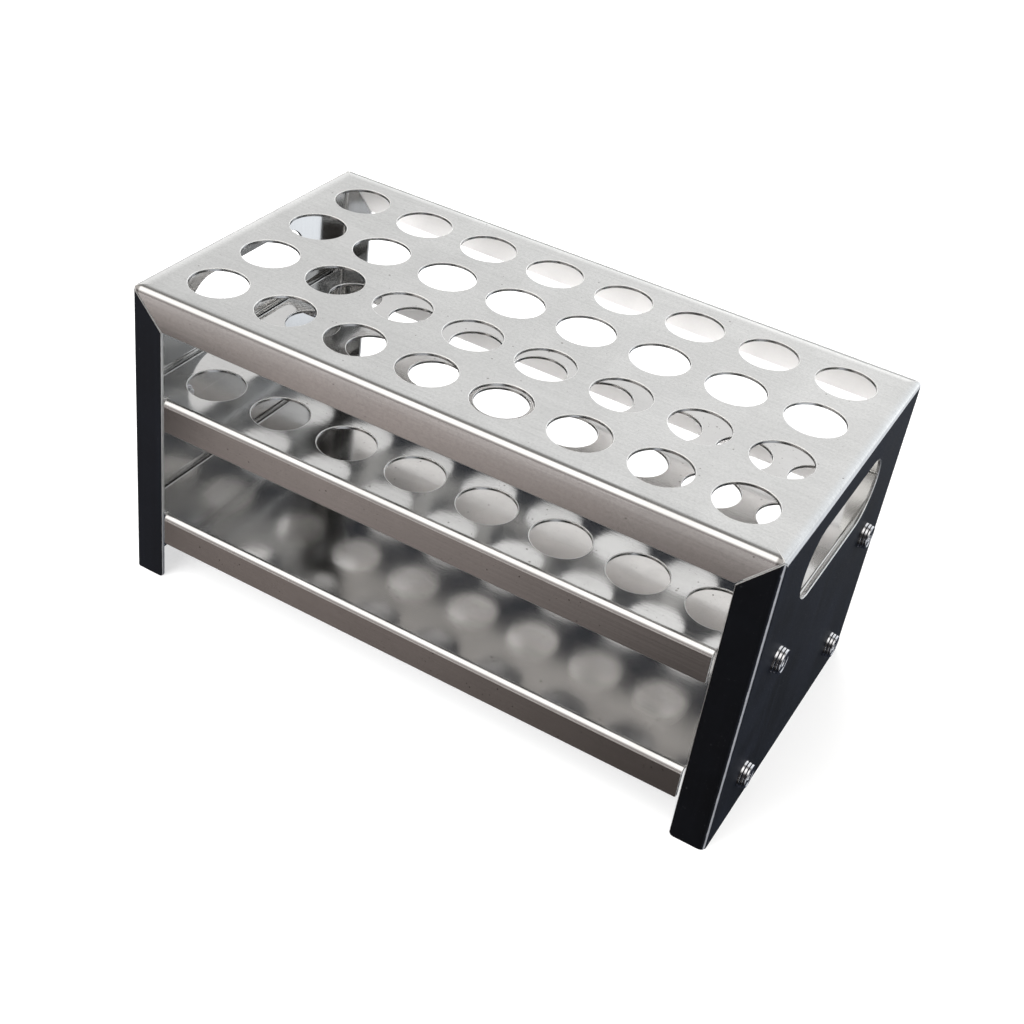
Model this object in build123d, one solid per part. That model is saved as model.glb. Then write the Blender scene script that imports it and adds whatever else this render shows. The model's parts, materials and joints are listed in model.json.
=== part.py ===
"""Test tube rack: a folded sheet-steel shell with two shelves, held by blind rivets.

The rack stands on z = 0 with its length along X, its front facing -Y and its top deck uppermost.
"""

from build123d import *
import os

# Tube positions, the same in the top deck and in the middle shelf
COLUMNS = 8
ROWS = 4
COLUMN_PITCH = 24.2
ROW_PITCH = 25.0
TUBE_HOLE_DIAMETER = 18.0

# Sheet steel
SHEET = 1.0
BEND_OUTER_RADIUS = 2.0
CORNER_RADIUS = 1.5  # rounding of the free sheet corners, so that they don't scratch

# Shell: top deck, both end panels and their flanges
LENGTH = 205.5
WIDTH = 110.0
HEIGHT = 104.0
DECK_FLANGE = 12.0
END_FLANGE = 11.0
MITRE_GAP = 0.4  # saw-cut slit between a deck flange and an end flange
HANDLE_LENGTH = 60.0
HANDLE_HEIGHT = 22.0
HANDLE_DROP = 21.5  # from the top of the deck down to the handle slot's centre

# Shelves
MIDDLE_SHELF_DROP = 35.5  # from the top of the deck down to the top of the shelf
BOTTOM_SHELF_DROP = 78.5
SHELF_FLANGE = 11.0
SHELF_END_FLANGE = 15.0
SHELF_END_GAP = 0.75  # between a shelf's front flange and the end panel's flange
SHELF_CORNER_GAP = 0.5  # between a shelf's plate and the inside of the shell at the corners
SHELF_TAB_INSET = 4.5  # how far a shelf's end flange stops short of the plate's corner

# Blind rivets, two at each end of each shelf
RIVET_SPACING = 70.0
MIDDLE_RIVET_DROP = 9.7  # from the top of the shelf down to the rivet's axis
BOTTOM_RIVET_DROP = 10.4
RIVET_HEAD_DIAMETER = 8.2
RIVET_FACE_DIAMETER = 7.4  # the head narrows towards its flat face
RIVET_HEAD_HEIGHT = 2.5
RIVET_HEAD_ROUNDING = 0.3
RIVET_SHANK_DIAMETER = 4.0
RIVET_HOLE_DIAMETER = 4.1
RIVET_BULGE_DIAMETER = 5.6  # the end that pulling the mandrel has spread behind the sheets
RIVET_BULGE_LENGTH = 2.6
RIVET_END_ROUNDING = 0.45
MANDREL_DIAMETER = 2.16
MANDREL_BORE_DIAMETER = 2.2
MANDREL_RECESS = 0.4  # how far the broken mandrel lies below the rivet's face
MANDREL_HEAD_DIAMETER = 3.8
MANDREL_HEAD_HEIGHT = 1.3

# Worked out from the above
BEND_INNER_RADIUS = BEND_OUTER_RADIUS - SHEET
INSIDE_LENGTH = LENGTH - 2 * SHEET
INSIDE_WIDTH = WIDTH - 2 * SHEET
WINDOW_LENGTH = LENGTH - 2 * END_FLANGE
THROUGH = 2 * WIDTH  # longer than any cut


def tube_holes(height):
    """Cylinders on the tube grid that cut the sheet at this height."""
    punch = Cylinder(TUBE_HOLE_DIAMETER / 2, 4 * SHEET)
    return [place * punch for place in Pos(0, 0, height) * GridLocations(
        COLUMN_PITCH, ROW_PITCH, COLUMNS, ROWS)]


def rivet_holes(height):
    """Cylinders along X that cut both ends for one shelf's rivets."""
    drill = Rot(0, 90, 0) * Cylinder(RIVET_HOLE_DIAMETER / 2, 2 * LENGTH)
    return [Pos(0, side * RIVET_SPACING / 2, height) * drill for side in (-1, 1)]


def rounded_block(length, width, height, radius):
    """A block on z = 0 whose upright and top edges are rounded."""
    block = Pos(0, 0, height / 2) * Box(length, width, height)
    bottom_edges = block.faces().sort_by(Axis.Z)[0].edges()
    rounded = [edge for edge in block.edges() if edge not in bottom_edges]
    return fillet(rounded, radius)


def mitre_slits():
    """Thin blocks that part each deck flange from the end flange beside it, from the corner inwards."""
    run = Vector(END_FLANGE, 0, -DECK_FLANGE)
    slope = Axis.X.direction.get_angle(Vector(END_FLANGE, 0, DECK_FLANGE))
    slits = []
    for side_x in (-1, 1):
        for side_y in (-1, 1):
            middle = Pos(-side_x * run.X / 2, 0, run.Z / 2)
            corner = Pos(side_x * LENGTH / 2, side_y * (WIDTH / 2 - SHEET / 2), HEIGHT)
            block = Box(run.length + 2 * SHEET, 2 * SHEET, MITRE_GAP)
            slits.append(corner * middle * Rot(0, side_x * -slope, 0) * block)
    return slits


def outer_shell():
    """Top deck, end panels and the flanges turned inwards around the open front and back."""
    shell = rounded_block(LENGTH, WIDTH, HEIGHT, BEND_OUTER_RADIUS)
    shell -= rounded_block(INSIDE_LENGTH, INSIDE_WIDTH, HEIGHT - SHEET, BEND_INNER_RADIUS)
    window_height = HEIGHT - DECK_FLANGE
    shell -= Pos(0, 0, window_height / 2) * Box(WINDOW_LENGTH, THROUGH, window_height)
    foot_corners = shell.edges().filter_by(Axis.Y).filter_by(
        lambda edge: edge.center().Z < SHEET and abs(edge.center().X) < LENGTH / 2 - BEND_OUTER_RADIUS)
    shell = fillet(foot_corners, CORNER_RADIUS)
    shell -= mitre_slits()
    shell -= tube_holes(HEIGHT - SHEET / 2)
    slot = Plane.YZ * SlotOverall(HANDLE_LENGTH, HANDLE_HEIGHT)
    shell -= Pos(0, 0, HEIGHT - HANDLE_DROP) * extrude(slot, amount=LENGTH, both=True)
    shell -= rivet_holes(HEIGHT - MIDDLE_SHELF_DROP - MIDDLE_RIVET_DROP)
    shell -= rivet_holes(HEIGHT - BOTTOM_SHELF_DROP - BOTTOM_RIVET_DROP)
    return shell


def channel(width, depth, length):
    """A sheet folded down along both sides, its top at z = 0, running along X."""
    outside = Pos(0, -depth / 2) * Rectangle(width, depth)
    outside = fillet(outside.vertices().group_by(Axis.Y)[-1], BEND_OUTER_RADIUS)
    inside = Pos(0, -(depth + SHEET) / 2) * Rectangle(width - 2 * SHEET, depth - SHEET)
    inside = fillet(inside.vertices().group_by(Axis.Y)[-1], BEND_INNER_RADIUS)
    return extrude(Plane.YZ * (outside - inside), amount=length / 2, both=True)


def shelf(height, rivet_drop):
    """A plate with flanges turned down on all four sides, its corners cut out around the shell's."""
    front_flange_length = WINDOW_LENGTH - 2 * SHELF_END_GAP
    plate_width = INSIDE_WIDTH - 2 * SHELF_CORNER_GAP
    plate_length = INSIDE_LENGTH - 2 * BEND_OUTER_RADIUS - 2 * SHELF_CORNER_GAP
    end_flange_width = plate_width - 2 * SHELF_TAB_INSET
    tray = channel(WIDTH, SHELF_FLANGE, front_flange_length)
    tray += Rot(0, 0, 90) * channel(INSIDE_LENGTH, SHELF_END_FLANGE, end_flange_width)
    tray += Pos(0, 0, -SHEET / 2) * Box(plate_length, plate_width, SHEET)
    tray = Pos(0, 0, height) * tray
    return tray - rivet_holes(height - rivet_drop)


def middle_shelf():
    """The perforated shelf, which keeps the tubes upright."""
    height = HEIGHT - MIDDLE_SHELF_DROP
    return shelf(height, MIDDLE_RIVET_DROP) - tube_holes(height - SHEET / 2)


def bottom_shelf():
    """The plain shelf, which the tubes stand on."""
    return shelf(HEIGHT - BOTTOM_SHELF_DROP, BOTTOM_RIVET_DROP)


def turned(*corners):
    """The solid that a closed outline in the XZ plane sweeps about the Z axis."""
    return revolve(make_face(Polyline(*[(x, 0, z) for x, z in corners], close=True)), Axis.Z)


def outer_rim(body, end):
    """The widest circular edge at a turned solid's lower (0) or upper (-1) end."""
    rims = body.edges().filter_by(GeomType.CIRCLE).group_by(Axis.Z)[end]
    return rims.sort_by(SortBy.RADIUS)[-1]


def rivet():
    """The hollow rivet, set: its axis on Z, its head's underside at z = 0 and facing +Z."""
    bore = MANDREL_BORE_DIAMETER / 2
    grip = 2 * SHEET
    end = -grip - RIVET_BULGE_LENGTH
    body = turned(
        (bore, RIVET_HEAD_HEIGHT),
        (RIVET_FACE_DIAMETER / 2, RIVET_HEAD_HEIGHT),
        (RIVET_HEAD_DIAMETER / 2, 0),
        (RIVET_SHANK_DIAMETER / 2, 0),
        (RIVET_SHANK_DIAMETER / 2, -grip),
        (RIVET_BULGE_DIAMETER / 2, -grip),
        (RIVET_BULGE_DIAMETER / 2, end),
        (bore, end),
    )
    body = fillet(outer_rim(body, 0), RIVET_END_ROUNDING)
    return fillet(outer_rim(body, -1), RIVET_HEAD_ROUNDING)


def mandrel():
    """What is left of the pulling mandrel inside a set rivet, on the rivet's axis."""
    shoulder = -2 * SHEET - RIVET_BULGE_LENGTH
    pin = turned(
        (0, RIVET_HEAD_HEIGHT - MANDREL_RECESS),
        (MANDREL_DIAMETER / 2, RIVET_HEAD_HEIGHT - MANDREL_RECESS),
        (MANDREL_DIAMETER / 2, shoulder),
        (MANDREL_HEAD_DIAMETER / 2, shoulder),
        (MANDREL_HEAD_DIAMETER / 2, shoulder - MANDREL_HEAD_HEIGHT),
        (0, shoulder - MANDREL_HEAD_HEIGHT),
    )
    return fillet(outer_rim(pin, 0), RIVET_END_ROUNDING)


def rivet_places():
    """Each rivet's name and the place of its head's underside, facing away from the rack."""
    shelves = {
        "middle": HEIGHT - MIDDLE_SHELF_DROP - MIDDLE_RIVET_DROP,
        "bottom": HEIGHT - BOTTOM_SHELF_DROP - BOTTOM_RIVET_DROP,
    }
    places = {}
    for shelf_name, height in shelves.items():
        for end_name, end in (("left", -1), ("right", 1)):
            for side_name, side in (("front", -1), ("back", 1)):
                name = f"{shelf_name}_{end_name}_{side_name}"
                place = Pos(end * LENGTH / 2, side * RIVET_SPACING / 2, height)
                places[name] = place * Rot(0, end * 90, 0)
    return places


def all_parts():
    """Every piece of the rack by its node's name."""
    parts = {
        "outer_shell": outer_shell(),
        "middle_shelf": middle_shelf(),
        "bottom_shelf": bottom_shelf(),
    }
    for name, place in rivet_places().items():
        parts[f"rivet_{name}"] = place * rivet()
        parts[f"mandrel_{name}"] = place * mandrel()
    return parts


os.makedirs("parts", exist_ok=True)
for node, part in all_parts().items():
    export_step(part, f"parts/{node}.step")
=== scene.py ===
import bpy
import json
import math
import numpy as np
from mathutils import Euler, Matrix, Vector, geometry


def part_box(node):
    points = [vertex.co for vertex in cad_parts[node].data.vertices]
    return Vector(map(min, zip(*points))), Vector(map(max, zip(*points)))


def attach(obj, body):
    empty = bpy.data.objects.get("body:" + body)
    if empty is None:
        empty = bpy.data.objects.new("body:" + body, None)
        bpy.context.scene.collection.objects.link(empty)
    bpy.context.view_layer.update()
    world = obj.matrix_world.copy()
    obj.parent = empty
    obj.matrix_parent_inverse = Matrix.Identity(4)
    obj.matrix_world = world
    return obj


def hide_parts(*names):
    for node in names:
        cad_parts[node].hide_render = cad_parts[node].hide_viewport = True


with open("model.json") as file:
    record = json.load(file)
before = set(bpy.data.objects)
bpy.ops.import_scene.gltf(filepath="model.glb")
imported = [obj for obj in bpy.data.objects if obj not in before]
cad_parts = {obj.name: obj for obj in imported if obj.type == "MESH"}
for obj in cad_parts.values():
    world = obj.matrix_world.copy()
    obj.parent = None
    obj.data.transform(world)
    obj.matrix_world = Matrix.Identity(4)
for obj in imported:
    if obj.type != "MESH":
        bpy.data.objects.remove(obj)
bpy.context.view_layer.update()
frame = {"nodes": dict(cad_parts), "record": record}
shell_low, shell_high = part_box("outer_shell")

MM = 0.001
QUARTER = math.pi / 2
SAME_PLACE = 1e-9  # points closer than this are one point
X, Y, Z = Vector((1, 0, 0)), Vector((0, 1, 0)), Vector((0, 0, 1))

# Sheet steel
SHEET = 1.0 * MM
BEND = 2.0 * MM  # outer radius of every fold
BEND_STEPS = 12
BEND_RUN = BEND * QUARTER  # length of a fold's outer side in the flat sheet
MATT_START = 0.7 * BEND_RUN  # how far round a long fold its inner side turns matt
EDGE_STEPS = 3
EDGE_RADIUS = 0.18 * MM
HOLE_EDGE_RADIUS = 0.26 * MM
INNER_EDGE_RADIUS = 0.06 * MM
SLOT_INNER_EDGE_RADIUS = 0.2 * MM
RIVET_HOLE_EDGE_RADIUS = 0.05 * MM
TUBE_RADIUS = 9.0 * MM
RIVET_HOLE_RADIUS = 2.05 * MM

# Shell
DECK_FLANGE = 12.0 * MM
END_FLANGE = 11.0 * MM
SLOT_LENGTH, SLOT_HEIGHT, SLOT_DROP = 60.0 * MM, 22.0 * MM, 21.5 * MM
FOOT_RADIUS = 1.5 * MM
TIP_RADIUS = 0.3 * MM
SEAM = 0.2 * MM  # half of the slit between a deck flange and an end flange
NICK = 0.05 * MM  # half of the small hole where three folds meet

# Shelves
SHELF_FLANGE = 11.0 * MM
SHELF_END_GAP = 0.75 * MM  # between a shelf's front flange and the end panel's flange
SHELF_END_HALF = 49.0 * MM  # half of the width of a shelf's end flange
SHELF_CORNER = 0.5 * MM  # how far the plate stops short of the end, and reaches past the front fold's line
SHELF_TIP_RADIUS = 0.6 * MM
RELIEF_WIDTH, RELIEF_DEPTH = 0.4 * MM, 0.3 * MM  # the notch beside the end of a front fold

# Kinds of face, in the order of a sheet's materials
FACE, CUT, INSIDE, FOLD, PUNCHED_SHADED, DARK, FLANGE_INSIDE = range(7)

# ---------------------------------------------------------------- camera
CAMERA_PLACE = (0.16930, -0.36257, 0.33050)
CAMERA_TURN = (54.244, -6.472, 30.785)
camera_data = bpy.data.cameras.new("camera")
camera_data.lens = 55.136
camera_data.sensor_width = 36.0
camera_data.shift_x = 0.03
camera_data.shift_y = -0.02
camera_data.clip_start = 0.01
camera_data.clip_end = 50.0
camera = bpy.data.objects.new("camera", camera_data)
camera.location = CAMERA_PLACE
camera.rotation_euler = Euler([math.radians(a) for a in CAMERA_TURN], "XYZ")
bpy.context.scene.collection.objects.link(camera)
bpy.context.scene.camera = camera
bpy.context.scene.view_settings.view_transform = "Standard"
bpy.context.scene.view_settings.look = "None"


# ---------------------------------------------------------------- node helpers
class Nodes:
    """Adds and wires the nodes of one tree."""

    def __init__(self, tree):
        self.tree = tree
        tree.nodes.clear()

    def add(self, kind, inputs=(), **settings):
        node = self.tree.nodes.new(kind)
        for key, value in settings.items():
            setattr(node, key, value)
        for key, value in dict(inputs).items():
            self.set(node.inputs[key], value)
        return node

    def set(self, socket, value):
        if isinstance(value, bpy.types.NodeSocket):
            self.tree.links.new(value, socket)
        else:
            socket.default_value = value

    def math(self, operation, a, b=0.0):
        return self.add("ShaderNodeMath", {0: a, 1: b}, operation=operation).outputs[0]

    def plus(self, a, b):
        return self.math("ADD", a, b)

    def minus(self, a, b):
        return self.math("SUBTRACT", a, b)

    def times(self, a, b):
        return self.math("MULTIPLY", a, b)

    def absolute(self, value):
        return self.math("ABSOLUTE", value)

    def degrees(self, rise, run):
        return self.times(self.math("ARCTAN2", rise, run), 180 / math.pi)

    def axes(self, vector):
        return self.add("ShaderNodeSeparateXYZ", {"Vector": vector}).outputs

    def ramp(self, value, low, high, out_low=0.0, out_high=1.0, smooth=True):
        node = self.add("ShaderNodeMapRange", {
            "Value": value, "From Min": low, "From Max": high, "To Min": out_low, "To Max": out_high})
        node.interpolation_type = "SMOOTHSTEP" if smooth else "LINEAR"
        return node.outputs["Result"]

    def mix(self, factor, a, b, blend="MIX"):
        node = self.add("ShaderNodeMix", data_type="RGBA", blend_type=blend)
        self.set(node.inputs["Factor"], factor)
        self.set(node.inputs["A"], a)
        self.set(node.inputs["B"], b)
        return node.outputs["Result"]

    def tinted(self, colour, level):
        return self.mix(1.0, colour, self.flat(level), "MULTIPLY")

    def darker(self, share, colour, level):
        """The colour, with this share of it darkened to this level."""
        return self.mix(share, colour, self.mix(1.0, colour, grey(level), "MULTIPLY"))

    def noise(self, vector, scale, detail=2.0, roughness=0.5):
        return self.add("ShaderNodeTexNoise", {
            "Vector": vector, "Scale": scale, "Detail": detail, "Roughness": roughness}).outputs["Fac"]

    def flat(self, value):
        return self.add("ShaderNodeCombineColor", {"Red": value, "Green": value, "Blue": value}).outputs[0]

    def scaled(self, vector, scale):
        return self.add("ShaderNodeMapping", {"Vector": vector, "Scale": scale}).outputs["Vector"]

    def place(self):
        return self.add("ShaderNodeTexCoord").outputs["Object"]

    def sheet(self):
        """The place in the flat sheet, u along the grain and v across it."""
        return self.add("ShaderNodeUVMap", uv_map="sheet").outputs["UV"]

    def relief(self, *layers):
        """Bumps laid one over another. Each layer is (height, strength, distance)."""
        normal = None
        for height, strength, distance in layers:
            bump = self.add("ShaderNodeBump", {"Height": height, "Strength": strength, "Distance": distance})
            if normal is not None:
                self.set(bump.inputs["Normal"], normal)
            normal = bump.outputs[0]
        return normal


def grey(value):
    return (value, value, value, 1.0)


def node_material(name):
    """A new material and the helper for its nodes."""
    material = bpy.data.materials.new(name)
    material.use_nodes = True
    return material, Nodes(material.node_tree)


def link(name, data):
    """A new object of the scene."""
    thing = bpy.data.objects.new(name, data)
    bpy.context.scene.collection.objects.link(thing)
    return thing


# ---------------------------------------------------------------- surroundings
# The studio is drawn by direction: x to the rack's right, y behind it, z up.
def back_wall(n, x, z):
    """Lighter low down and towards the right, with a dim corner far on the right."""
    level = n.times(n.ramp(x, -0.6, -0.1, 0.93, 1.13), n.ramp(z, 0.08, 0.5, 1.35, 1.0))
    level = n.times(level, n.ramp(x, 0.02, 0.28, 1.0, 1.10))
    level = n.times(level, n.ramp(x, 0.48, 0.56, 1.0, 0.75))
    corner = n.times(n.ramp(x, 0.44, 0.54, 0.0, 0.72), n.ramp(z, 0.30, 0.42))
    level = n.times(level, n.minus(1.0, corner))
    tint = n.mix(n.ramp(x, 0.0, 0.25), (1.0, 1.0, 0.995, 1.0), (0.97, 1.0, 1.03, 1.0))
    return n.tinted(tint, level)


def upper_half(n, x, y, z, dim):
    """The wall behind, then a dark gap, then the softbox overhead, which ends lower on the left."""
    # angle in the upright plane across the rack: 0 behind it, 90 overhead, 180 in front of it
    across = n.degrees(z, y)
    end = n.ramp(x, -0.12, 0.08, 168.0, 136.0)
    sky = n.mix(n.ramp(across, 57, 66), back_wall(n, x, z), (0.25, 0.24, 0.23, 1.0))
    sky = n.mix(n.ramp(across, 74, 96), sky, (1.65, 1.62, 1.58, 1.0))
    past_end = n.ramp(n.minus(across, end), -26.0, 8.0)
    return n.mix(past_end, sky, n.tinted((0.36, 0.33, 0.32, 1.0), dim))


def front_ground(n, x, y, z, dim):
    """Light further out, darker towards the rack and to the right, with a dark spot on the left."""
    below = n.degrees(n.times(z, -1.0), n.times(y, -1.0))
    left = n.ramp(below, 37, 46, 0.45, 0.21, False)
    right = n.ramp(below, 37, 42, 0.27, 0.075, False)
    share = n.ramp(x, -0.42, -0.20, 0.0, 1.0, False)
    level = n.plus(n.times(left, n.minus(1.0, share)), n.times(right, share))
    spot = n.times(n.ramp(below, 35.6, 37.4), n.ramp(x, -0.56, -0.49, 1.0, 0.0))
    level = n.times(level, n.minus(1.0, n.times(spot, 0.9)))
    near = n.tinted((1.0, 0.87, 0.82, 1.0), level)
    far = n.mix(n.ramp(below, 19, 23), (0.34, 0.30, 0.29, 1.0), (1.10, 1.05, 1.03, 1.0))
    return n.tinted(n.mix(n.ramp(below, 27, 31), far, near), dim)


def lower_half(n, x, y, z, dim):
    """A nearly black ground, warmer in front, with light patches on the right and behind it."""
    in_front = n.times(n.ramp(y, -0.5, -0.2, 1.0, 0.0), n.ramp(z, -0.06, -0.01, 1.0, 0.0))
    ground = n.mix(in_front, (0.030, 0.034, 0.046, 1.0), front_ground(n, x, y, z, dim))
    rightwards = n.plus(n.times(x, 0.89), n.times(y, -0.45))
    patch = n.times(n.ramp(rightwards, 0.62, 0.8), n.ramp(x, 0.35, 0.5))
    ground = n.mix(patch, ground, (1.05, 1.08, 1.14, 1.0))
    behind = n.times(n.ramp(x, 0.19, 0.27), n.times(n.ramp(y, 0.55, 0.7), n.ramp(z, -0.56, -0.48)))
    return n.mix(behind, ground, (1.00, 1.04, 1.10, 1.0))


def make_world():
    """A studio for the metal to reflect; the camera itself sees a plain pale one."""
    world = bpy.data.worlds.new("studio")
    world.use_nodes = True
    bpy.context.scene.world = world
    n = Nodes(world.node_tree)
    x, y, z = n.axes(n.add("ShaderNodeTexCoord").outputs["Generated"])
    dim = n.ramp(x, -0.12, 0.08, 1.0, 0.12)  # what lies low in front is dimmer on the right
    light = n.mix(n.ramp(z, -0.03, 0.02), lower_half(n, x, y, z, dim), upper_half(n, x, y, z, dim))
    seen = n.add("ShaderNodeBackground", {"Color": grey(0.93), "Strength": 1.0})
    lit = n.add("ShaderNodeBackground", {"Color": light, "Strength": 1.0})
    ray = n.add("ShaderNodeLightPath").outputs["Is Camera Ray"]
    both = n.add("ShaderNodeMixShader", {0: ray, 1: lit.outputs[0], 2: seen.outputs[0]})
    n.add("ShaderNodeOutputWorld", {"Surface": both.outputs[0]})


def make_floor():
    """A pale round floor. Mirror-like metal reflects the studio's darker ground instead of it."""
    radius, steps = 6.0, 96
    angles = [2 * math.pi * i / steps for i in range(steps)]
    mesh = bpy.data.meshes.new("floor")
    mesh.from_pydata([(radius * math.cos(a), radius * math.sin(a), 0.0) for a in angles], [],
                     [list(range(steps))])
    floor = link("floor", mesh)
    material, n = node_material("floor_paper")
    tone = n.ramp(n.noise(n.place(), 900.0, 3.0), 0.3, 0.7, 0.90, 0.93)
    matt = n.add("ShaderNodeBsdfDiffuse", {"Color": n.flat(tone)})
    glow = n.add("ShaderNodeEmission", {"Color": grey(1.0), "Strength": 1.2})
    paper = n.add("ShaderNodeMixShader", {0: 0.5, 1: matt.outputs[0], 2: glow.outputs[0]})
    clear = n.add("ShaderNodeBsdfTransparent")
    back = n.add("ShaderNodeNewGeometry").outputs["Backfacing"]
    both = n.add("ShaderNodeMixShader", {0: back, 1: paper.outputs[0], 2: clear.outputs[0]})
    n.add("ShaderNodeOutputMaterial", {"Surface": both.outputs[0]})
    mesh.materials.append(material)
    floor.visible_glossy = False


def make_light(name, place, aim, size, power):
    """A rectangular lamp that only lights: neither the camera nor the metal sees it."""
    data = bpy.data.lights.new(name, "AREA")
    data.shape = "RECTANGLE"
    data.size, data.size_y = size
    data.energy = power
    light = link(name, data)
    light.location = place
    light.rotation_euler = (Vector(aim) - Vector(place)).to_track_quat("-Z", "Y").to_euler()
    light.visible_glossy = False
    light.visible_camera = False


def make_lights():
    make_light("key", (-0.35, -0.75, 1.15), (0, 0, 0.05), (0.9, 0.9), 9.0)
    make_light("fill", (0.7, 0.6, 0.9), (0, 0, 0.05), (0.8, 0.8), 4.0)
    for side in (-1, 1):  # low strips in front and behind, which reach in between the sheets
        make_light("strip", (-0.2, side * 0.42, 0.07), (-0.2, 0, 0.07), (0.4, 0.13), 4.2)


# ---------------------------------------------------------------- steel
def steel(name, colour, low_colour, roughness, anisotropy, uv=True, streak=0.05, specks=None,
          speck_share=0.0, wave=0.0, smudge=0.06, shade_lines=None, matt=0.0):
    """Brushed stainless sheet. The grain runs along u of the flat sheet."""
    material, n = node_material(name)
    place = n.place()
    flat = n.sheet() if uv else place
    grain = n.noise(n.scaled(flat, (70.0, 5200.0, 5200.0)), 1.0, 3.0, 0.6)
    coarse = n.noise(n.scaled(flat, (18.0, 900.0, 900.0)), 1.0, 2.0, 0.5)
    cloud = n.noise(place, 42.0, 4.0, 0.6)
    fine = n.noise(place, 1300.0, 3.0, 0.6)
    body = n.mix(n.ramp(cloud, 0.36, 0.66), low_colour, colour)
    body = n.darker(n.ramp(fine, 0.35, 0.7, 0.0, streak * 1.6), body, 0.6)
    body = n.darker(n.ramp(grain, 0.3, 0.7, 0.0, streak), body, 0.55)
    body = n.darker(n.ramp(coarse, 0.35, 0.7, 0.0, streak * 0.8), body, 0.6)
    # lay on the given lines of painted shade
    if shade_lines:
        body = shade_lines(n, body)
    if specks:
        body = speckled(n, place, body, specks, speck_share)
    rough = n.ramp(cloud, 0.3, 0.7, roughness + smudge * 0.5, roughness - smudge * 0.5, False)
    rough = n.plus(rough, n.ramp(grain, 0.3, 0.7, -0.02, 0.02, False))
    layers = [(grain, 0.25, 0.006 * MM), (coarse, 0.3, 0.02 * MM)]
    if wave:
        layers.append((n.noise(place, 14.0, 1.0, 0.4), 1.0, wave))
    shader = n.add("ShaderNodeBsdfPrincipled", {
        "Base Color": body, "Metallic": 1.0 - matt, "Roughness": rough, "Normal": n.relief(*layers)})
    shader.inputs["Anisotropic"].default_value = anisotropy
    if anisotropy:
        shader.inputs["Anisotropic Rotation"].default_value = 0.25
        tangent = n.add("ShaderNodeTangent", direction_type="UV_MAP", uv_map="sheet")
        n.set(shader.inputs["Tangent"], tangent.outputs[0])
    n.add("ShaderNodeOutputMaterial", {"Surface": shader.outputs[0]})
    return material


def speckled(n, place, body, colour, share):
    """Specks of dust and pits a quarter of a millimetre across, scattered at two densities."""
    for scale, part in ((900.0, share), (2100.0, share * 1.5)):
        dots = n.add("ShaderNodeTexVoronoi", {"Vector": place, "Scale": scale, "Randomness": 1.0})
        pick = n.add("ShaderNodeSeparateColor", {"Color": dots.outputs["Color"]})
        chosen = n.math("LESS_THAN", pick.outputs["Red"], part)
        size = n.ramp(pick.outputs["Green"], 0.0, 1.0, 0.12, 0.34, False)
        near = n.math("LESS_THAN", dots.outputs["Distance"], size)
        strength = n.ramp(pick.outputs["Blue"], 0.0, 1.0, 0.25, 0.9, False)
        body = n.mix(n.times(n.times(chosen, near), strength), body, colour)
    return body


def fold_painted_shade(n, body):
    """Painted shade: a dark line along each side of a fold that runs along the rack, and dark ends that cut
    its highlight short.
    """
    axes = n.axes(n.sheet())
    across = n.absolute(axes[1])
    fold, half = shell_high.y - BEND, 0.30 * MM
    # painted shade lines beside the fold's highlight
    for centre in (fold + 0.35 * MM, fold + 2.95 * MM):
        off = n.absolute(n.minus(across, centre))
        body = n.mix(n.ramp(off, half * 0.3, half, 0.15, 0.0), body, (0.06, 0.055, 0.05, 1.0))
    end = shell_high.x - BEND
    # painted shade at the fold's ends, so that its highlight stops short of the corner
    shaded_tip = n.ramp(n.absolute(axes[0]), end - 0.9 * MM, end - 0.2 * MM, 0.0, 0.75)
    return n.mix(shaded_tip, body, (0.10, 0.09, 0.085, 1.0))


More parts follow.
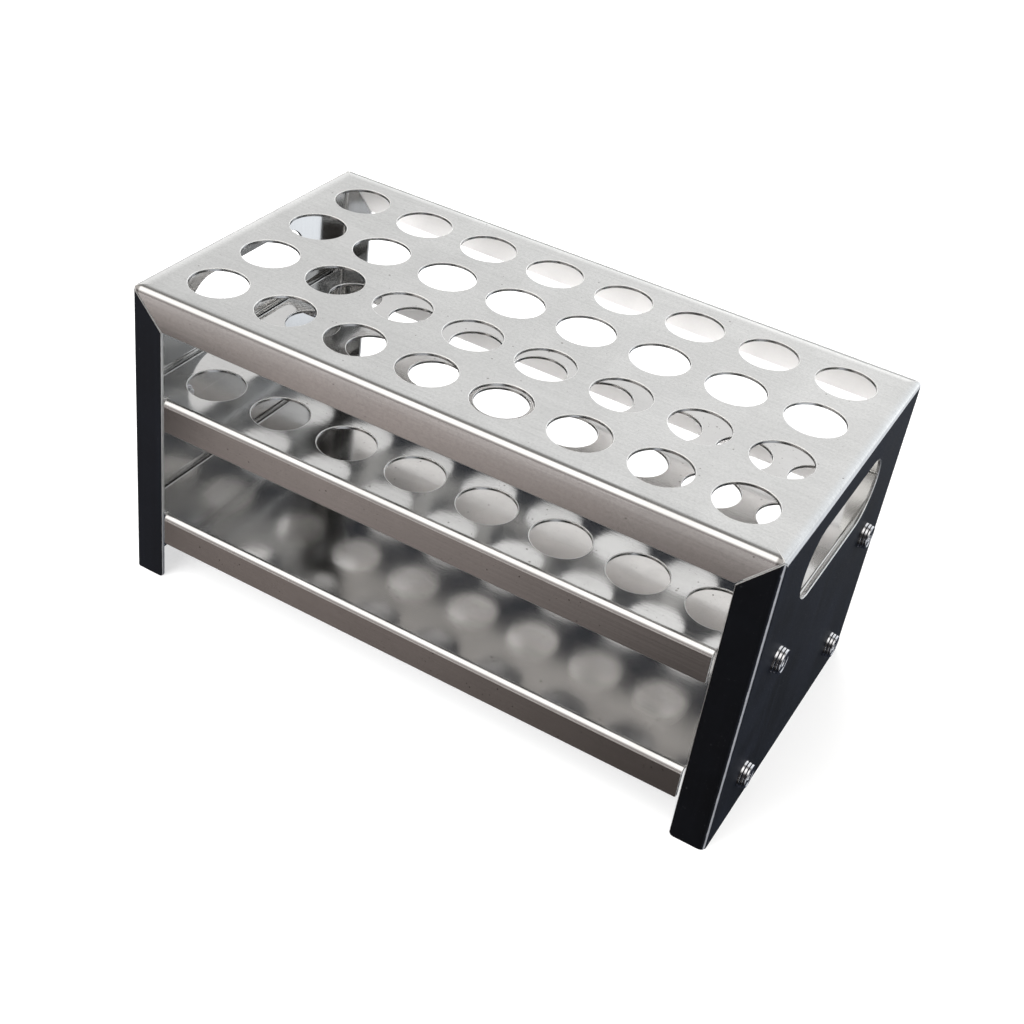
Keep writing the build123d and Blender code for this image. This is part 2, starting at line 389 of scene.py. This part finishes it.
def dark_finish(name):
    """The dark outside of the end panels and legs: nearly black, dusty, worn to bright steel on the folds,
    with painted shade on the legs.
    """
    material, n = node_material(name)
    place, flat = n.place(), n.sheet()
    streaks = n.noise(n.scaled(flat, (9.0, 420.0, 420.0)), 1.0, 3.0, 0.55)
    cloud = n.noise(place, 36.0, 4.0, 0.6)
    fine = n.noise(place, 1500.0, 2.0, 0.6)
    body = n.mix(n.ramp(cloud, 0.34, 0.68), (0.0050, 0.0062, 0.0092, 1.0), (0.0100, 0.0126, 0.0202, 1.0))
    body = n.mix(n.ramp(streaks, 0.45, 0.75, 0.0, 0.5), body, (0.0150, 0.0182, 0.0285, 1.0))
    body = n.mix(n.ramp(fine, 0.5, 0.75, 0.0, 0.35), body, (0.024, 0.026, 0.035, 1.0))
    body = speckled(n, place, body, (0.20, 0.21, 0.23, 1.0), 0.035)
    across = n.absolute(n.axes(flat)[1])
    crest = shell_high.y - BEND + 0.38 * BEND_RUN  # the worn line, a little on the panel's side of the fold
    # Painted shade: the legs are darker than the panels, and the right leg is darker than the left.
    leg = n.mix(n.ramp(n.axes(place)[0], -0.1, 0.1),
                (0.0026, 0.0027, 0.0034, 1.0), (0.0010, 0.0010, 0.0012, 1.0))
    body = n.mix(n.ramp(across, crest, crest + 1.2 * MM, 0.0, 0.92), body, leg)
    off = n.absolute(n.minus(across, crest))
    reach = n.plus(0.16 * MM, n.times(n.noise(place, 300.0, 3.0, 0.6), 0.28 * MM))
    worn = n.ramp(n.minus(off, reach), -0.08 * MM, 0.10 * MM, 1.0, 0.0)
    body = n.mix(worn, body, (0.72, 0.72, 0.74, 1.0))
    rough = n.plus(n.ramp(cloud, 0.3, 0.7, 0.50, 0.58, False), n.ramp(fine, 0.4, 0.7, -0.02, 0.06, False))
    relief = n.relief((fine, 0.3, 0.02 * MM), (n.noise(place, 14.0, 1.0, 0.4), 1.0, 0.25 * MM))
    shader = n.add("ShaderNodeBsdfPrincipled", {
        "Base Color": body, "Metallic": n.ramp(worn, 0.2, 0.8), "Roughness": rough, "Normal": relief})
    shader.inputs["Specular IOR Level"].default_value = 0.08
    n.add("ShaderNodeOutputMaterial", {"Surface": shader.outputs[0]})
    return material


# ---------------------------------------------------------------- flat patterns
def circle(u, v, radius, steps=64):
    """A hole's edge, clockwise, so that the sheet lies on its left."""
    return [(u + radius * math.cos(2 * math.pi * i / steps), v - radius * math.sin(2 * math.pi * i / steps))
            for i in range(steps)]


def long_hole(u, v, length, height, steps=24):
    """A hole with round ends, long along v, clockwise."""
    radius, run = height / 2, (length - height) / 2
    points = []
    for side in (1, -1):
        for i in range(steps + 1):
            a = math.pi * i / steps
            points.append((u - side * radius * math.cos(a), v + side * (run + radius * math.sin(a))))
    return points


def rounded(points, steps=5):
    """A path whose corners with a radius become arcs. Each point is (u, v, radius, key)."""
    path = []
    for i, (u, v, radius, key) in enumerate(points):
        if not radius:
            path.append((u, v, key))
            continue
        corner = Vector((u, v))
        before = (Vector(points[i - 1][:2]) - corner).normalized()
        after = (Vector(points[i + 1][:2]) - corner).normalized()
        half = before.angle(after) / 2
        reach = radius / math.tan(half)
        centre = corner + (before + after).normalized() * (radius / math.sin(half))
        first = corner + before * reach - centre
        turn = (corner + after * reach - centre).angle_signed(first)
        for k in range(steps + 1):
            a = turn * k / steps
            spoke = Vector((first.x * math.cos(a) - first.y * math.sin(a),
                            first.x * math.sin(a) + first.y * math.cos(a)))
            path.append((*(centre + spoke), None))
    return path


def mirrored_outline(quadrant):
    """The whole outline, anticlockwise, from its quarter from the u axis round to the v axis.

    The second value finds a point by its key and the signs of its quarter's u and v.
    """
    points, named = [], {}
    for side_u, side_v in ((1, 1), (-1, 1), (-1, -1), (1, -1)):
        run = quadrant if side_u * side_v > 0 else quadrant[::-1]
        for u, v, key in run:
            place = (side_u * u, side_v * v)
            if points and math.dist(points[-1], place) < SAME_PLACE:
                continue
            if key:
                named[(key, side_u, side_v)] = len(points)
            points.append(place)
    if math.dist(points[0], points[-1]) < SAME_PLACE:
        points.pop()
    return points, named


def outward(loop):
    """At each point of a loop, the way out of the sheet, lengthened at corners to keep an even offset."""
    p = np.array(loop)
    along = np.roll(p, -1, 0) - p
    along /= np.linalg.norm(along, axis=1)[:, None]
    out = np.stack([along[:, 1], -along[:, 0]], 1)
    before = np.roll(out, 1, 0)
    return (before + out) / (1 + (before * out).sum(1))[:, None]


def inside(points, loops):
    """For each point, whether it lies in the sheet, by the even-odd rule."""
    hit = np.zeros(len(points), bool)
    for loop in loops:
        a = np.array(loop)
        b = np.roll(a, -1, 0)
        for (ax, ay), (bx, by) in zip(a, b):
            if ay == by:
                continue
            crosses = (ay > points[:, 1]) != (by > points[:, 1])
            at = ax + (points[:, 1] - ay) / (by - ay) * (bx - ax)
            hit ^= crosses & (points[:, 0] < at)
    return hit


def triangulate(name, loops, creases):
    """The points of all loops, and the sheet's triangles between them, anticlockwise."""
    points = np.concatenate(loops)
    borders, start = [], 0
    for loop in loops:
        borders += [(start + i, start + (i + 1) % len(loop)) for i in range(len(loop))]
        start += len(loop)
    # in millimetres; 0 asks for every triangle, and points within the last number of each other are one
    solved = geometry.delaunay_2d_cdt([Vector(p * 1000) for p in points], borders + creases, [], 0, 1e-7)
    verts, triangles, origin = solved[0], solved[2], solved[3]
    if len(verts) != len(points) or any(len(o) != 1 for o in origin):
        raise ValueError(f"{name}: the flat pattern's lines cross, {len(verts)} points from {len(points)}")
    triangles = np.array([[origin[i][0] for i in t] for t in triangles])
    turned = []
    for a, b, c in triangles[inside(points[triangles].mean(1), loops)]:
        (bu, bv), (cu, cv) = points[b] - points[a], points[c] - points[a]
        turned.append((a, b, c) if bu * cv > bv * cu else (a, c, b))
    return points, turned


# ---------------------------------------------------------------- folded sheets
def edge_rings(outer, inner):
    """The rings round a sheared edge, from the sheet's outer side to its inner one.

    Each is its way back from the edge, its depth, its normal's angle and the side that it leans to.
    """
    angles = [QUARTER * k / EDGE_STEPS for k in range(EDGE_STEPS + 1)]
    rings = [(outer * (1 - math.sin(a)), outer * (1 - math.cos(a)), a, 1.0) for a in angles]
    rings += [(inner * (1 - math.sin(a)), SHEET - inner * (1 - math.cos(a)), a, -1.0) for a in angles[::-1]]
    return rings


def fold_sheet(name, loops, edges, creases, fold, materials, kind_of, matt_from, matt_to):
    """Makes a folded sheet from its flat pattern.

    loops: the outline, then the holes. edges: each loop's edge radius on the outer and the inner side.
    creases: pairs of outline points that a fold's line joins. fold(u, v, depth) gives the place of a point
    of the flat sheet, the outer side's normal there, and the directions of u and v. kind_of(u, v) gives the
    outer side's kind of face there. The inner side is matt beyond v = matt_from up to u = matt_to.
    """
    outs = [outward(loop) for loop in loops]
    tops = [np.array(loop) - out * edge[0] for loop, out, edge in zip(loops, outs, edges)]
    points, triangles = triangulate(name, tops, creases)

    places, normals, flats, rows = [], [], [], []
    for loop, out, (outer, inner) in zip(loops, outs, edges):
        made = []
        for back, depth, angle, side in edge_rings(outer, inner):
            made.append(range(len(places), len(places) + len(loop)))
            for p, m in zip(loop, out):
                unit = m / np.linalg.norm(m)
                u, v = p[0] - m[0] * back, p[1] - m[1] * back
                place, normal, along_u, along_v = fold(u, v, depth)
                outwards = (along_u * unit[0] + along_v * unit[1]).normalized()
                normal = normal * (side * math.cos(angle)) + outwards * math.sin(angle)
                places.append(place)
                normals.append(normal.normalized())
                flats.append((u + unit[0] * depth, v + unit[1] * depth))
        rows.append(made)

    upper = [i for made in rows for i in made[0]]
    lower = [i for made in rows for i in made[-1]]
    faces, kinds = [], []
    for triangle in triangles:
        u, v = np.abs(points[list(triangle)].mean(0))
        faces.append([upper[i] for i in triangle])
        kinds.append(kind_of(u, v))
        faces.append([lower[i] for i in triangle[::-1]])
        kinds.append(FLANGE_INSIDE if v > matt_from and u < matt_to else INSIDE)
    for number, made in enumerate(rows):
        for band, (above, below) in enumerate(zip(made, made[1:])):
            for i in range(len(above)):
                j = (i + 1) % len(above)
                faces.append([above[i], below[i], below[j], above[j]])
                # a hole's wall, below the rounding of its upper edge, is painted darker than a sheared edge:
                # painted shade in the hole
                kinds.append(PUNCHED_SHADED if number and band >= EDGE_STEPS else CUT)
    return link(name, sheet_mesh(name, places, normals, flats, faces, kinds, materials))


def sheet_mesh(name, places, normals, flats, faces, kinds, materials):
    """A smooth mesh with the given normals, which keeps its places in the flat sheet as UVs."""
    mesh = bpy.data.meshes.new(name)
    mesh.from_pydata([tuple(p) for p in places], [], faces)
    for material in materials:
        mesh.materials.append(material)
    mesh.polygons.foreach_set("material_index", kinds)
    mesh.polygons.foreach_set("use_smooth", [True] * len(faces))
    layer = mesh.uv_layers.new(name="sheet")
    corner = np.zeros(len(mesh.loops), np.int32)
    mesh.loops.foreach_get("vertex_index", corner)
    layer.data.foreach_set("uv", np.array(flats, np.float32)[corner].ravel())
    mesh.normals_split_custom_set([tuple(normals[i]) for i in corner])
    mesh.update()
    return mesh


def mirror(vector, side_u, side_v):
    return Vector((vector.x * side_u, vector.y * side_v, vector.z))


def both_sides(quarter):
    """A fold given for one quarter of the sheet, used on all four."""
    def fold(u, v, depth):
        side_u, side_v = (1 if u >= 0 else -1), (1 if v >= 0 else -1)
        place, normal, along_u, along_v = quarter(abs(u), abs(v), depth)
        return (mirror(place, side_u, side_v), mirror(normal, side_u, side_v),
                mirror(along_u, side_u, side_v) * side_u, mirror(along_v, side_u, side_v) * side_v)
    return fold


def arc(angle, first, second):
    """The normal and the direction of travel on a fold from first's side to second's."""
    return (first * math.cos(angle) + second * math.sin(angle),
            second * math.cos(angle) - first * math.sin(angle))


def tube_holes():
    """The edges of the tube holes, whose centres are in the record."""
    return [circle(*mount["pos_m"][:2], TUBE_RADIUS) for mount in frame["record"]["mounts"]
            if mount["name"].startswith("tube_hole")]


def rivet_centres(shelf):
    """The rivets' places across the rack and heights at one shelf."""
    found = set()
    for node in frame["nodes"]:
        if node.startswith("rivet_" + shelf):
            low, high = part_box(node)
            middle = (low + high) / 2
            found.add((round(middle.y, 5), round(middle.z, 5)))
    return sorted(found)


def rivet_holes(shelf, side, line):
    """The edges of one shelf's rivet holes in one end. line: the size of u at height 0."""
    return [circle(side * (line - z), y, RIVET_HOLE_RADIUS, 32) for y, z in rivet_centres(shelf)]


fold_angles = [QUARTER * j / BEND_STEPS for j in range(BEND_STEPS + 1)]


# ---------------------------------------------------------------- shell
# Lines of the flat sheet: the deck's edges, where the folds start, and where they end
END_LINE = (shell_high.x - shell_low.x) / 2 - BEND
FRONT_LINE = (shell_high.y - shell_low.y) / 2 - BEND
PANEL_LINE = END_LINE + BEND_RUN
FLANGE_LINE = FRONT_LINE + BEND_RUN
SOLE_LINE = PANEL_LINE + shell_high.z - BEND


def shell_fold(u, v, depth):
    """A quarter of the shell: deck, deck flange, end panel, end flange and the folds between them."""
    r = BEND - depth
    width, height = 2 * (FRONT_LINE + BEND), shell_high.z
    past_u, past_v = u - END_LINE, v - FRONT_LINE
    if past_u <= 0 and past_v <= 0:
        return Vector((u, v, height - depth)), Z, X, Y
    if past_v > 0 and past_u < past_v and past_u < 0.75 * BEND:  # the deck's fold and flange
        x = u if past_u < 0 else END_LINE + past_u * r / BEND
        if past_v < BEND_RUN:
            out, way = arc(past_v / BEND, Z, Y)
            return Vector((x, FRONT_LINE, height - BEND)) + out * r, out, X, way
        return Vector((x, width / 2 - depth, height - BEND - (past_v - BEND_RUN))), Y, X, -Z
    if past_v <= 0 or PANEL_LINE - u > past_v:  # the fold at the end and the panel
        y = v if past_v < 0 else FRONT_LINE + past_v * r / BEND
        if u < PANEL_LINE:
            out, way = arc(past_u / BEND, Z, X)
            return Vector((END_LINE, y, height - BEND)) + out * r, out, way, Y
        return Vector((END_LINE + BEND - depth, y, height - BEND - (u - PANEL_LINE))), X, -Z, Y
    z = height - BEND - (u - PANEL_LINE) * (1 if u > PANEL_LINE else r / BEND)
    if past_v < BEND_RUN:  # the upright fold and the leg
        out, way = arc(past_v / BEND, X, Y)
        return Vector((END_LINE, FRONT_LINE, z)) + out * r, out, -Z, way
    return Vector((END_LINE - (past_v - BEND_RUN), width / 2 - depth, z)), Y, -Z, -X


def ear(angle):
    """How far a fold reaches past its neighbour's line, to meet it at the corner with a small gap."""
    gap = (0.03 + 0.22 * math.sin(min(angle, QUARTER)) ** 2) * MM
    return BEND * min(math.sin(angle), math.cos(angle)) - gap


def shell_outline():
    """A quarter of the shell's outline, from the sole's middle round to the deck flange's middle."""
    numbered = list(enumerate(fold_angles))
    leg_edge = FLANGE_LINE + END_FLANGE - BEND
    flange_edge = FLANGE_LINE + DECK_FLANGE - BEND
    slope = Vector((DECK_FLANGE - BEND, END_FLANGE - BEND)).normalized()
    shift_u = SEAM / slope.y  # moves the leg's slanted edge away from the slit, down the leg
    shift_v = SEAM / slope.x  # and the deck flange's, inwards along the flange
    points = [(SOLE_LINE, 0.0, 0, None), (SOLE_LINE, FRONT_LINE, 0, ("foot", 0))]
    for j, angle in numbered[1:]:
        points.append((SOLE_LINE, FRONT_LINE + BEND * angle, 0, ("foot", j)))
    points.append((SOLE_LINE, leg_edge, FOOT_RADIUS, None))
    points.append((PANEL_LINE + DECK_FLANGE - BEND + shift_u, leg_edge, TIP_RADIUS, None))
    for j, angle in reversed(numbered[2:]):
        points.append((PANEL_LINE - ear(angle), FRONT_LINE + BEND * angle, 0, ("leg", j)))
    points.append((PANEL_LINE + NICK, FRONT_LINE - NICK, 0, ("panel", 0)))
    for j, angle in reversed(numbered[2:-2]):
        points.append((END_LINE + BEND * angle, FRONT_LINE + ear(angle), 0, ("end", j)))
    points.append((END_LINE - NICK, FRONT_LINE - NICK, 0, ("deck", 0)))
    for j, angle in numbered[2:]:
        points.append((END_LINE + ear(angle), FRONT_LINE + BEND * angle, 0, ("front", j)))
    points.append((END_LINE - (END_FLANGE - BEND) - shift_v, flange_edge, TIP_RADIUS, None))
    points.append((0.0, flange_edge, 0, None))
    return mirrored_outline(rounded(points))


def shell_creases(named):
    """The lines of the folds, each between two points of the outline."""
    creases = []

    def crease(first, second):
        creases.append((named[first], named[second]))

    for side in (1, -1):
        for j in range(2, BEND_STEPS + 1):
            crease((("front", j), 1, side), (("front", j), -1, side))
        for j in range(2, BEND_STEPS - 1):
            crease((("end", j), side, 1), (("end", j), side, -1))
        crease((("deck", 0), 1, side), (("deck", 0), -1, side))
        crease((("deck", 0), side, 1), (("deck", 0), side, -1))
        crease((("panel", 0), side, 1), (("panel", 0), side, -1))
        for other in (1, -1):
            crease((("panel", 0), side, other), (("foot", 0), side, other))
            for j in range(2, BEND_STEPS + 1):
                crease((("leg", j), side, other), (("foot", j), side, other))
    return creases


def shell_kind(u, v):
    """The outer side's kind of face: dark on the end panels and legs, and a lighter steel on the long folds,
    a painted highlight.
    """
    if u > PANEL_LINE:
        return DARK
    return FOLD if FRONT_LINE < v < FLANGE_LINE else FACE


def make_shell(materials):
    """The shell: deck, end panels and the flanges turned in around the open front and back."""
    outline, named = shell_outline()
    loops, edges = [outline], [(EDGE_RADIUS, INNER_EDGE_RADIUS)]
    for hole in tube_holes():
        loops.append(hole)
        edges.append((HOLE_EDGE_RADIUS, INNER_EDGE_RADIUS))
    handle = long_hole(PANEL_LINE + SLOT_DROP - BEND, 0.0, SLOT_LENGTH, SLOT_HEIGHT)
    for side in (1, -1):
        loops.append([(side * u, side * v) for u, v in handle])
        edges.append((HOLE_EDGE_RADIUS, SLOT_INNER_EDGE_RADIUS))
        for hole in rivet_holes("middle", side, SOLE_LINE) + rivet_holes("bottom", side, SOLE_LINE):
            loops.append(hole)
            edges.append((RIVET_HOLE_EDGE_RADIUS, RIVET_HOLE_EDGE_RADIUS))
    piece = fold_sheet("shell_folded_sheet", loops, edges, shell_creases(named), both_sides(shell_fold),
                       materials, shell_kind, FRONT_LINE + MATT_START, END_LINE)
    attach(piece, "root")
    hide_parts("outer_shell")


# ---------------------------------------------------------------- shelves
def make_shelf(node, shelf, holes, materials):
    """A shelf: its plate, a flange folded down along each side, and the corners cut out."""
    low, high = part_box(node)
    top = high.z
    end_line, front_line = high.x - BEND, high.y - BEND
    panel_line, flange_line = end_line + BEND_RUN, front_line + BEND_RUN
    end_edge = panel_line + (high.z - low.z) - BEND
    flange_edge = flange_line + SHELF_FLANGE - BEND
    plate_end, plate_front = end_line - SHELF_CORNER, front_line + SHELF_CORNER
    front_end = shell_high.x - END_FLANGE - SHELF_END_GAP

    def quarter(u, v, depth):
        r = BEND - depth
        past_u, past_v = u - end_line, v - front_line
        if past_v > 0 and u < front_end + 0.001 * MM:
            if past_v < BEND_RUN:
                out, way = arc(past_v / BEND, Z, Y)
                return Vector((u, front_line, top - BEND)) + out * r, out, X, way
            return Vector((u, high.y - depth, top - BEND - (past_v - BEND_RUN))), Y, X, -Z
        if past_u > 0:
            if past_u < BEND_RUN:
                out, way = arc(past_u / BEND, Z, X)
                return Vector((end_line, v, top - BEND)) + out * r, out, way, Y
            return Vector((high.x - depth, v, top - BEND - (past_u - BEND_RUN))), X, -Z, Y
        return Vector((u, v, top - depth)), Z, X, Y

    def kind_of(u, v):
        return FOLD if front_line < v < flange_line else FACE

    numbered = list(enumerate(fold_angles))
    points = [(end_edge, 0.0, 0, None), (end_edge, SHELF_END_HALF, SHELF_TIP_RADIUS, None)]
    for j, angle in reversed(numbered):
        points.append((end_line + BEND * angle, SHELF_END_HALF, 0, ("end", j)))
    points.append((plate_end, SHELF_END_HALF, 0, None))
    points.append((plate_end, plate_front, SHELF_TIP_RADIUS, None))
    points.append((front_end + RELIEF_WIDTH, plate_front, 0, None))
    points.append((front_end + RELIEF_WIDTH, front_line - RELIEF_DEPTH, 0, None))
    points.append((front_end, front_line - RELIEF_DEPTH, 0, None))
    for j, angle in numbered:
        points.append((front_end, front_line + BEND * angle, 0, ("front", j)))
    points.append((front_end, flange_edge, SHELF_TIP_RADIUS, None))
    points.append((0.0, flange_edge, 0, None))
    outline, named = mirrored_outline(rounded(points))
    creases = []
    for side in (1, -1):
        for j in range(BEND_STEPS + 1):
            creases.append((named[(("front", j), 1, side)], named[(("front", j), -1, side)]))
            creases.append((named[(("end", j), side, 1)], named[(("end", j), side, -1)]))
    loops, edges = [outline], [(EDGE_RADIUS, INNER_EDGE_RADIUS)]
    if holes:
        for hole in tube_holes():
            loops.append(hole)
            edges.append((HOLE_EDGE_RADIUS, INNER_EDGE_RADIUS))
    for side in (1, -1):
        for hole in rivet_holes(shelf, side, panel_line + top - BEND):
            loops.append(hole)
            edges.append((RIVET_HOLE_EDGE_RADIUS, RIVET_HOLE_EDGE_RADIUS))
    piece = fold_sheet(node + "_folded_sheet", loops, edges, creases, both_sides(quarter), materials, kind_of,
                       front_line + MATT_START, end_line)
    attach(piece, "root")
    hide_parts(node)


# ---------------------------------------------------------------- rivets
RIVET_STEPS, MANDREL_STEPS = 64, 40  # points round each
# Half of each section, in millimetres: (radius, height above the end panel, rounding of the corner)
RIVET_SECTION = [
    (1.10, -4.60, 0), (2.80, -4.60, 0.45), (2.80, -2.00, 0.25),  # the end spread behind the sheets
    (2.00, -2.00, 0.05), (2.00, -0.01, 0.05),  # the shank
    (4.02, -0.01, 0.03), (4.09, 0.06, 0.03), (3.99, 0.58, 0.02),  # the head's side, up to a groove
    (3.86, 0.59, 0.02), (3.96, 1.02, 0.02), (3.85, 1.56, 0.02),  # up to the second groove
    (3.73, 1.57, 0.02), (3.82, 1.96, 0.02), (3.71, 2.34, 0.08),  # up to the rim
    (3.50, 2.48, 0.08), (3.10, 2.46, 0.10), (2.90, 2.30, 0.14),  # the rim and the step inside it
    (1.50, 2.26, 0.12), (1.18, 2.16, 0.08), (1.10, 1.80, 0.1), (1.10, -4.60, 0),  # the face and the bore
]
MANDREL_SECTION = [
    (0.0, -5.90, 0), (1.90, -5.90, 0.5), (1.90, -4.62, 0.2), (1.06, -4.62, 0.05),  # its head
    (1.06, 1.85, 0.1), (0.80, 2.10, 0.12), (0.35, 2.09, 0.1), (0.0, 2.03, 0),  # the broken end
]


def bend_path(corners, steps=5):
    """A section whose corners are rounded, in metres."""
    path = []
    for i, (r, h, rounding) in enumerate(corners):
        if not rounding:
            path.append((r, h))
            continue
        corner = Vector((r, h))
        before = Vector(corners[i - 1][:2]) - corner
        after = Vector(corners[i + 1][:2]) - corner
        for k in range(steps + 1):
            t = k / steps
            a = corner + before.normalized() * rounding * (1 - t)
            b = corner + after.normalized() * rounding * t
            path.append(tuple(a * (1 - t) + b * t))
    return [(r * MM, h * MM) for r, h in path]


def lathe(name, profile, node, steps, material):
    """Turns a profile of (radius, height above the end panel) about a rivet's axis."""
    low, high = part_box(node)
    side = 1 if low.x > 0 else -1
    centre = (low + high) / 2
    places, faces, previous = [], [], None
    for radius, rise in profile:
        x = side * (shell_high.x + rise)
        if radius == 0:
            row = [len(places)] * steps
            places.append((x, centre.y, centre.z))
        else:
            row = list(range(len(places), len(places) + steps))
            for i in range(steps):
                a = side * 2 * math.pi * i / steps
                places.append((x, centre.y + radius * math.cos(a), centre.z + radius * math.sin(a)))
        if previous:
            for i in range(steps):
                j = (i + 1) % steps
                around = (previous[i], previous[j], row[j], row[i])
                faces.append(list(dict.fromkeys(around)))  # a triangle at the axis
        previous = row
    mesh = bpy.data.meshes.new(name)
    mesh.from_pydata(places, [], faces)
    mesh.polygons.foreach_set("use_smooth", [True] * len(faces))
    mesh.materials.append(material)
    mesh.validate()
    piece = link(name, mesh)
    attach(piece, "root")
    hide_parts(node)


def make_rivets(rivet_steel, mandrel_steel):
    """A turned rivet and its broken mandrel at each of their places in the frame."""
    head = bend_path(RIVET_SECTION)[::-1]
    pin = bend_path(MANDREL_SECTION)
    for node in sorted(frame["nodes"]):
        if node.startswith("rivet_"):
            lathe(node + "_turned", head, node, RIVET_STEPS, rivet_steel)
        if node.startswith("mandrel_"):
            lathe(node + "_broken", pin, node, MANDREL_STEPS, mandrel_steel)


# ---------------------------------------------------------------- all together
make_world()
make_floor()
make_lights()

pits = (0.22, 0.21, 0.20, 1.0)
# The inner sides are a lighter steel than the outer faces: painted light, to brighten the insides.
lightened_inside_colour = (0.76, 0.76, 0.75, 1.0)
lightened_inside_low = (0.72, 0.72, 0.71, 1.0)
shell_face = steel("shell_brushed", (0.68, 0.68, 0.675, 1.0), (0.63, 0.63, 0.625, 1.0), 0.15, 0.5,
                   specks=pits, speck_share=0.010, wave=0.25 * MM, streak=0.12)
shell_inside = steel("shell_brushed_inside", lightened_inside_colour, lightened_inside_low, 0.10, 0.3, wave=0.15 * MM)
shelf_face = steel("shelf_brushed", (0.645, 0.64, 0.635, 1.0), (0.60, 0.595, 0.59, 1.0), 0.10, 0.3,
                   specks=pits, speck_share=0.035, wave=0.15 * MM)
floor_face = steel("bottom_shelf_brushed", (0.655, 0.638, 0.626, 1.0), (0.585, 0.569, 0.557, 1.0), 0.13, 0.3,
                   specks=pits, speck_share=0.045, wave=0.15 * MM)
shelf_inside = steel("shelf_brushed_inside", lightened_inside_colour, lightened_inside_low, 0.10, 0.3, wave=0.15 * MM)
# The folds are a lighter steel than the faces beside them, a painted highlight, with lines of painted shade
# along them.
fold_face = steel("fold_lightened", (0.74, 0.735, 0.725, 1.0), (0.69, 0.685, 0.675, 1.0), 0.22, 0.3,
                  smudge=0.03, shade_lines=fold_painted_shade)
# The inner sides of the flanges are near white and matt: painted light, so that the low lamps brighten them.
flange_inside = steel("flange_inside_matt_lightened", (0.93, 0.915, 0.905, 1.0), (0.88, 0.865, 0.855, 1.0), 0.40, 0.0,
                      matt=0.75, streak=0.03)
end_face = dark_finish("end_dark_finish")
cut_edge = steel("sheared_edge", (0.94, 0.94, 0.93, 1.0), (0.86, 0.86, 0.85, 1.0), 0.46, 0.0, uv=False)
# Hole walls are a darker steel than the sheared edges: painted shade in the holes.
punched = steel("punched_wall_shaded", (0.46, 0.46, 0.46, 1.0), (0.36, 0.36, 0.36, 1.0), 0.24, 0.0, uv=False)
rivet_steel = steel("rivet_bright", (0.72, 0.72, 0.735, 1.0), (0.64, 0.64, 0.655, 1.0), 0.14, 0.0, uv=False)
mandrel_steel = steel("mandrel_broken", (0.78, 0.78, 0.79, 1.0), (0.62, 0.62, 0.63, 1.0), 0.28, 0.0, uv=False)

make_shell([shell_face, cut_edge, shell_inside, fold_face, punched, end_face, flange_inside])
for node, shelf, holes, face in (("middle_shelf", "middle", True, shelf_face),
                                 ("bottom_shelf", "bottom", False, floor_face)):
    materials = [face, cut_edge, shelf_inside, fold_face, punched, end_face, flange_inside]
    make_shelf(node, shelf, holes, materials)
make_rivets(rivet_steel, mandrel_steel)
